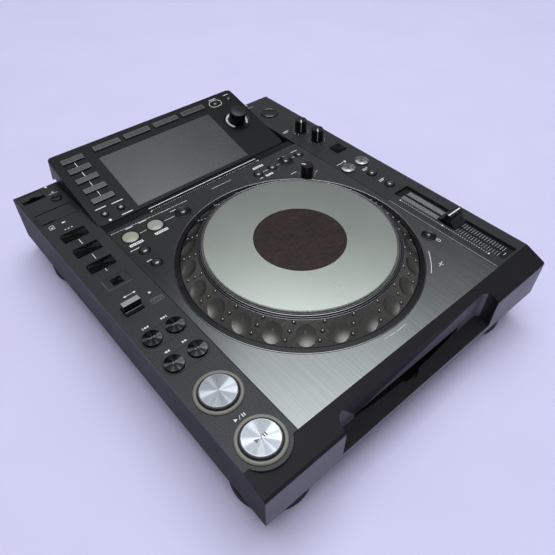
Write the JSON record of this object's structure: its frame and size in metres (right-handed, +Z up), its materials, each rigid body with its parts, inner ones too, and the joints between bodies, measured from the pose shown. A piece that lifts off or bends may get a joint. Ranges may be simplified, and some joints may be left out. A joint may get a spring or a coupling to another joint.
{
  "type": "tabletop disc player",
  "caption": "Slot-loading tabletop player with a large dimpled jog wheel, tilted screen hood, side strips of buttons and knobs, and a tempo fader.",
  "frame": {"origin": "middle of the footprint on the table, under the feet", "axes": "+X right, +Y to the back, +Z up; the controls face the user at -Y"},
  "size_m": [0.32, 0.404, 0.1061],
  "materials": {
    "case": "satin charcoal moulding",
    "strip": "satin charcoal with fine metallic grain",
    "deck": "brushed gunmetal",
    "hood": "matte near black",
    "screen": "glossy screen, off",
    "gloss_black": "gloss black",
    "wheel": "gunmetal paint on moulding",
    "platter": "satin grey metal",
    "window": "dark gloss window",
    "inner": "black moulding",
    "pan": "black painted steel sheet",
    "rubber": "black rubber",
    "steel": "zinc-plated steel",
    "board": "green circuit board",
    "socket": "black sockets with metal rings",
    "light_cap": "satin metal cap on a clear ring",
    "silver": "silver plated plastic",
    "beige": "pale grey translucent plastic",
    "grey_key": "translucent grey plastic",
    "knob": "black soft-touch plastic"
  },
  "bodies": {
    "player": {"bottom_pan": "pan", "feet": "rubber", "upper_case": "case", "side_panels": "strip", "deck_plate": "deck", "display_housing": "hood", "display_glass": "screen", "jog_bezel": "gloss_black", "jog_mount": "inner", "jog_display": "window", "drive_chassis": "steel", "circuit_boards": "board", "sockets": "socket", "screws": "steel"},
    "wheel": {"jog_wheel": "wheel", "jog_plate": "platter"},
    "play_button_body": {"play_button": "light_cap"},
    "cue_button_body": {"cue_button": "light_cap"},
    "track_back_button_body": {"track_back_button": "gloss_black"},
    "track_next_button_body": {"track_next_button": "gloss_black"},
    "search_back_button_body": {"search_back_button": "gloss_black"},
    "search_next_button_body": {"search_next_button": "gloss_black"},
    "hot_cue_a_body": {"hot_cue_a": "gloss_black"},
    "hot_cue_b_body": {"hot_cue_b": "gloss_black"},
    "hot_cue_c_body": {"hot_cue_c": "gloss_black"},
    "call_button_body": {"call_button": "gloss_black"},
    "loop_in_button_body": {"loop_in_button": "beige"},
    "loop_out_button_body": {"loop_out_button": "beige"},
    "reloop_button_body": {"reloop_button": "gloss_black"},
    "loop_mode_button_body": {"loop_mode_button": "gloss_black"},
    "slip_button_body": {"slip_button": "gloss_black"},
    "call_prev_button_body": {"call_prev_button": "gloss_black"},
    "call_next_button_body": {"call_next_button": "gloss_black"},
    "delete_button_body": {"delete_button": "gloss_black"},
    "memory_button_body": {"memory_button": "gloss_black"},
    "eject_button_body": {"eject_button": "gloss_black"},
    "usb_stop_button_body": {"usb_stop_button": "gloss_black"},
    "jog_mode_button_body": {"jog_mode_button": "gloss_black"},
    "sync_button_body": {"sync_button": "silver"},
    "master_button_body": {"master_button": "silver"},
    "tempo_range_button_body": {"tempo_range_button": "gloss_black"},
    "master_tempo_button_body": {"master_tempo_button": "gloss_black"},
    "tempo_reset_button_body": {"tempo_reset_button": "gloss_black"},
    "quantize_button_body": {"quantize_button": "gloss_black"},
    "time_mode_button_body": {"time_mode_button": "gloss_black"},
    "back_button_body": {"back_button": "gloss_black"},
    "tag_button_body": {"tag_button": "gloss_black"},
    "source_keys_body": {"source_keys": "grey_key"},
    "menu_keys_body": {"menu_keys": "grey_key"},
    "brake_knob_body": {"brake_knob": "knob"},
    "start_knob_body": {"start_knob": "knob"},
    "jog_adjust_knob_body": {"jog_adjust_knob": "knob"},
    "selector_knob_body": {"selector_knob": "knob"},
    "direction_lever_body": {"direction_lever": "silver"},
    "tempo_fader_body": {"tempo_fader": "knob"},
    "sd_door_body": {"sd_door": "strip"},
    "usb_cover_body": {"usb_cover": "strip"},
    "power_switch_body": {"power_switch": "gloss_black"},
    "disc_spindle_body": {"disc_spindle": "inner"},
    "laser_sled_body": {"laser_sled": "inner"}
  },
  "joints": [
    {"name": "jog_spin", "type": "hinge", "parent": "player", "child": "wheel", "pos_m": [0, -0.0574, 0.088], "axis": [0, 0, 1], "continuous": true},
    {"name": "brake_turn", "type": "hinge", "parent": "player", "child": "brake_knob_body", "pos_m": [0.1375, 0.0906, 0.083], "axis": [0, 0, 1], "range_deg": [-150, 150]},
    {"name": "start_turn", "type": "hinge", "parent": "player", "child": "start_knob_body", "pos_m": [0.1383, 0.0648, 0.083], "axis": [0, 0, 1], "range_deg": [-150, 150]},
    {"name": "jog_adjust_turn", "type": "hinge", "parent": "player", "child": "jog_adjust_knob_body", "pos_m": [0.0842, 0.0232, 0.083], "axis": [0, 0, 1], "range_deg": [-150, 150]},
    {"name": "selector_turn", "type": "hinge", "parent": "player", "child": "selector_knob_body", "pos_m": [0.0829, 0.13612, 0.09594], "axis": [0, -0.247, 0.969], "continuous": true},
    {"name": "direction_tilt", "type": "hinge", "parent": "player", "child": "direction_lever_body", "pos_m": [-0.1432, -0.019, 0.07465], "axis": [1, 0, 0], "range_deg": [-12, 12]},
    {"name": "tempo_slide", "type": "slide", "parent": "player", "child": "tempo_fader_body", "axis": [0, -1, 0], "range_m": [-0.05, 0.05]},
    {"name": "sd_door_lift", "type": "hinge", "parent": "player", "child": "sd_door_body", "pos_m": [-0.1377, 0.13845, 0.07705], "axis": [-1, 0, 0], "range_deg": [0, 100]},
    {"name": "usb_cover_lift", "type": "hinge", "parent": "player", "child": "usb_cover_body", "pos_m": [-0.1447, 0.17575, 0.07705], "axis": [-1, 0, 0], "range_deg": [0, 100]},
    {"name": "power_rock", "type": "hinge", "parent": "player", "child": "power_switch_body", "pos_m": [0.126, 0.1915, 0.0371], "axis": [1, 0, 0], "range_deg": [0, 12]},
    {"name": "disc_spin", "type": "hinge", "parent": "player", "child": "disc_spindle_body", "pos_m": [-0.004, -0.112, 0.042], "axis": [0, 0, 1], "continuous": true},
    {"name": "sled_slide", "type": "slide", "parent": "player", "child": "laser_sled_body", "axis": [0, 1, 0], "range_m": [0, 0.034]},
    {"name": "play_press", "type": "slide", "parent": "player", "child": "play_button_body", "axis": [0, 0, -1], "range_m": [0, 0.001], "stiffness_N_per_m": 600, "springref_m": -0.002},
    {"name": "cue_press", "type": "slide", "parent": "player", "child": "cue_button_body", "axis": [0, 0, -1], "range_m": [0, 0.001], "stiffness_N_per_m": 600, "springref_m": -0.002},
    {"name": "track_back_press", "type": "slide", "parent": "player", "child": "track_back_button_body", "axis": [0, 0, -1], "range_m": [0, 0.001], "stiffness_N_per_m": 300, "springref_m": -0.002},
    {"name": "track_next_press", "type": "slide", "parent": "player", "child": "track_next_button_body", "axis": [0, 0, -1], "range_m": [0, 0.001], "stiffness_N_per_m": 300, "springref_m": -0.002},
    {"name": "search_back_press", "type": "slide", "parent": "player", "child": "search_back_button_body", "axis": [0, 0, -1], "range_m": [0, 0.001], "stiffness_N_per_m": 300, "springref_m": -0.002},
    {"name": "search_next_press", "type": "slide", "parent": "player", "child": "search_next_button_body", "axis": [0, 0, -1], "range_m": [0, 0.001], "stiffness_N_per_m": 300, "springref_m": -0.002},
    {"name": "hot_cue_a_press", "type": "slide", "parent": "player", "child": "hot_cue_a_body", "axis": [0, 0, -1], "range_m": [0, 0.001], "stiffness_N_per_m": 300, "springref_m": -0.002},
    {"name": "hot_cue_b_press", "type": "slide", "parent": "player", "child": "hot_cue_b_body", "axis": [0, 0, -1], "range_m": [0, 0.001], "stiffness_N_per_m": 300, "springref_m": -0.002},
    {"name": "hot_cue_c_press", "type": "slide", "parent": "player", "child": "hot_cue_c_body", "axis": [0, 0, -1], "range_m": [0, 0.001], "stiffness_N_per_m": 300, "springref_m": -0.002},
    {"name": "call_press", "type": "slide", "parent": "player", "child": "call_button_body", "axis": [0, 0, -1], "range_m": [0, 0.001], "stiffness_N_per_m": 300, "springref_m": -0.002},
    {"name": "loop_in_press", "type": "slide", "parent": "player", "child": "loop_in_button_body", "axis": [0, 0, -1], "range_m": [0, 0.001], "stiffness_N_per_m": 300, "springref_m": -0.002},
    {"name": "loop_out_press", "type": "slide", "parent": "player", "child": "loop_out_button_body", "axis": [0, 0, -1], "range_m": [0, 0.001], "stiffness_N_per_m": 300, "springref_m": -0.002},
    {"name": "reloop_press", "type": "slide", "parent": "player", "child": "reloop_button_body", "axis": [0, 0, -1], "range_m": [0, 0.001], "stiffness_N_per_m": 300, "springref_m": -0.002},
    {"name": "loop_mode_press", "type": "slide", "parent": "player", "child": "loop_mode_button_body", "axis": [0, 0, -1], "range_m": [0, 0.001], "stiffness_N_per_m": 300, "springref_m": -0.002},
    {"name": "slip_press", "type": "slide", "parent": "player", "child": "slip_button_body", "axis": [0, 0, -1], "range_m": [0, 0.001], "stiffness_N_per_m": 300, "springref_m": -0.002},
    {"name": "call_prev_press", "type": "slide", "parent": "player", "child": "call_prev_button_body", "axis": [0, 0, -1], "range_m": [0, 0.001], "stiffness_N_per_m": 300, "springref_m": -0.002},
    {"name": "call_next_press", "type": "slide", "parent": "player", "child": "call_next_button_body", "axis": [0, 0, -1], "range_m": [0, 0.001], "stiffness_N_per_m": 300, "springref_m": -0.002},
    {"name": "delete_press", "type": "slide", "parent": "player", "child": "delete_button_body", "axis": [0, 0, -1], "range_m": [0, 0.001], "stiffness_N_per_m": 300, "springref_m": -0.002},
    {"name": "memory_press", "type": "slide", "parent": "player", "child": "memory_button_body", "axis": [0, 0, -1], "range_m": [0, 0.001], "stiffness_N_per_m": 300, "springref_m": -0.002},
    {"name": "eject_press", "type": "slide", "parent": "player", "child": "eject_button_body", "axis": [0, 0, -1], "range_m": [0, 0.001], "stiffness_N_per_m": 300, "springref_m": -0.002},
    {"name": "usb_stop_press", "type": "slide", "parent": "player", "child": "usb_stop_button_body", "axis": [0, 0, -1], "range_m": [0, 0.001], "stiffness_N_per_m": 300, "springref_m": -0.002},
    {"name": "jog_mode_press", "type": "slide", "parent": "player", "child": "jog_mode_button_body", "axis": [0, 0, -1], "range_m": [0, 0.001], "stiffness_N_per_m": 300, "springref_m": -0.002},
    {"name": "sync_press", "type": "slide", "parent": "player", "child": "sync_button_body", "axis": [0, 0, -1], "range_m": [0, 0.001], "stiffness_N_per_m": 300, "springref_m": -0.002},
    {"name": "master_press", "type": "slide", "parent": "player", "child": "master_button_body", "axis": [0, 0, -1], "range_m": [0, 0.001], "stiffness_N_per_m": 300, "springref_m": -0.002},
    {"name": "tempo_range_press", "type": "slide", "parent": "player", "child": "tempo_range_button_body", "axis": [0, 0, -1], "range_m": [0, 0.001], "stiffness_N_per_m": 300, "springref_m": -0.002},
    {"name": "master_tempo_press", "type": "slide", "parent": "player", "child": "master_tempo_button_body", "axis": [0, 0, -1], "range_m": [0, 0.001], "stiffness_N_per_m": 300, "springref_m": -0.002},
    {"name": "tempo_reset_press", "type": "slide", "parent": "player", "child": "tempo_reset_button_body", "axis": [0, 0, -1], "range_m": [0, 0.001], "stiffness_N_per_m": 300, "springref_m": -0.002},
    {"name": "quantize_press", "type": "slide", "parent": "player", "child": "quantize_button_body", "axis": [0, 0.247, -0.969], "range_m": [0, 0.001], "stiffness_N_per_m": 300, "springref_m": -0.002},
    {"name": "time_mode_press", "type": "slide", "parent": "player", "child": "time_mode_button_body", "axis": [0, 0.247, -0.969], "range_m": [0, 0.001], "stiffness_N_per_m": 300, "springref_m": -0.002},
    {"name": "back_press", "type": "slide", "parent": "player", "child": "back_button_body", "axis": [0, 0.247, -0.969], "range_m": [0, 0.001], "stiffness_N_per_m": 300, "springref_m": -0.002},
    {"name": "tag_press", "type": "slide", "parent": "player", "child": "tag_button_body", "axis": [0, 0.247, -0.969], "range_m": [0, 0.001], "stiffness_N_per_m": 300, "springref_m": -0.002},
    {"name": "source_keys_press", "type": "slide", "parent": "player", "child": "source_keys_body", "axis": [0, 0.247, -0.969], "range_m": [0, 0.001], "stiffness_N_per_m": 900, "springref_m": -0.002},
    {"name": "menu_keys_press", "type": "slide", "parent": "player", "child": "menu_keys_body", "axis": [0, 0.247, -0.969], "range_m": [0, 0.001], "stiffness_N_per_m": 900, "springref_m": -0.002}
  ]
}
